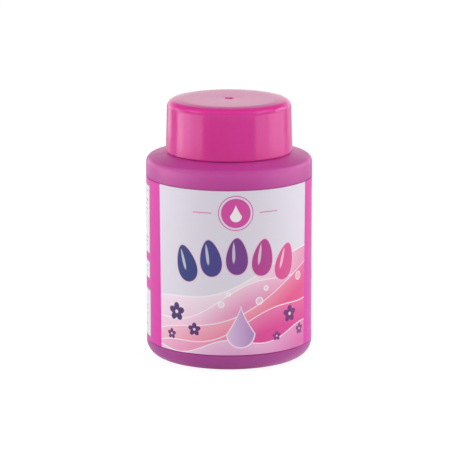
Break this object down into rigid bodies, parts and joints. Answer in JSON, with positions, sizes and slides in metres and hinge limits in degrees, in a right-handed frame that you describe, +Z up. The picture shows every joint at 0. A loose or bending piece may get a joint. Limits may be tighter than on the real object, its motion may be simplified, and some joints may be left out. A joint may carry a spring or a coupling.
{
  "type": "dip-in nail polish remover bottle",
  "caption": "Round plastic dip-in bottle of nail polish remover: foam insert with a finger well, screw cap with a foam liner, and a wrap-around label.",
  "frame": {"origin": "on the axis at the height of the foot ring, which is the surface that the bottle stands on", "axes": "+Z up along the bottle's axis, -Y towards the front of the label, +X to the right as seen from the front"},
  "size_m": [0.051, 0.051, 0.08],
  "materials": {
    "pot_body": "satin",
    "wrap_label": "satin",
    "foam_insert": "matte",
    "remover_liquid": "gloss",
    "screw_cap": "gloss",
    "cap_liner": "matte"
  },
  "bodies": {
    "pot": {"pot_body": "pot_body", "wrap_label": "wrap_label", "foam_insert": "foam_insert", "remover_liquid": "remover_liquid"},
    "liner": {"cap_liner": "cap_liner"},
    "cap": {"screw_cap": "screw_cap"}
  },
  "joints": [
    {"name": "cap_lift", "type": "slide", "parent": "pot", "child": "liner", "axis": [0, 0, 1], "range_m": [0, 0.0253]},
    {"name": "cap_turn", "type": "hinge", "parent": "liner", "child": "cap", "pos_m": [0, 0, 0.064], "axis": [0, 0, 1], "range_deg": [0, 2160]}
  ],
  "couplings": [
    {"joint": "cap_lift", "follows": "cap_turn", "m_per_rad": 0.00066845}
  ]
}
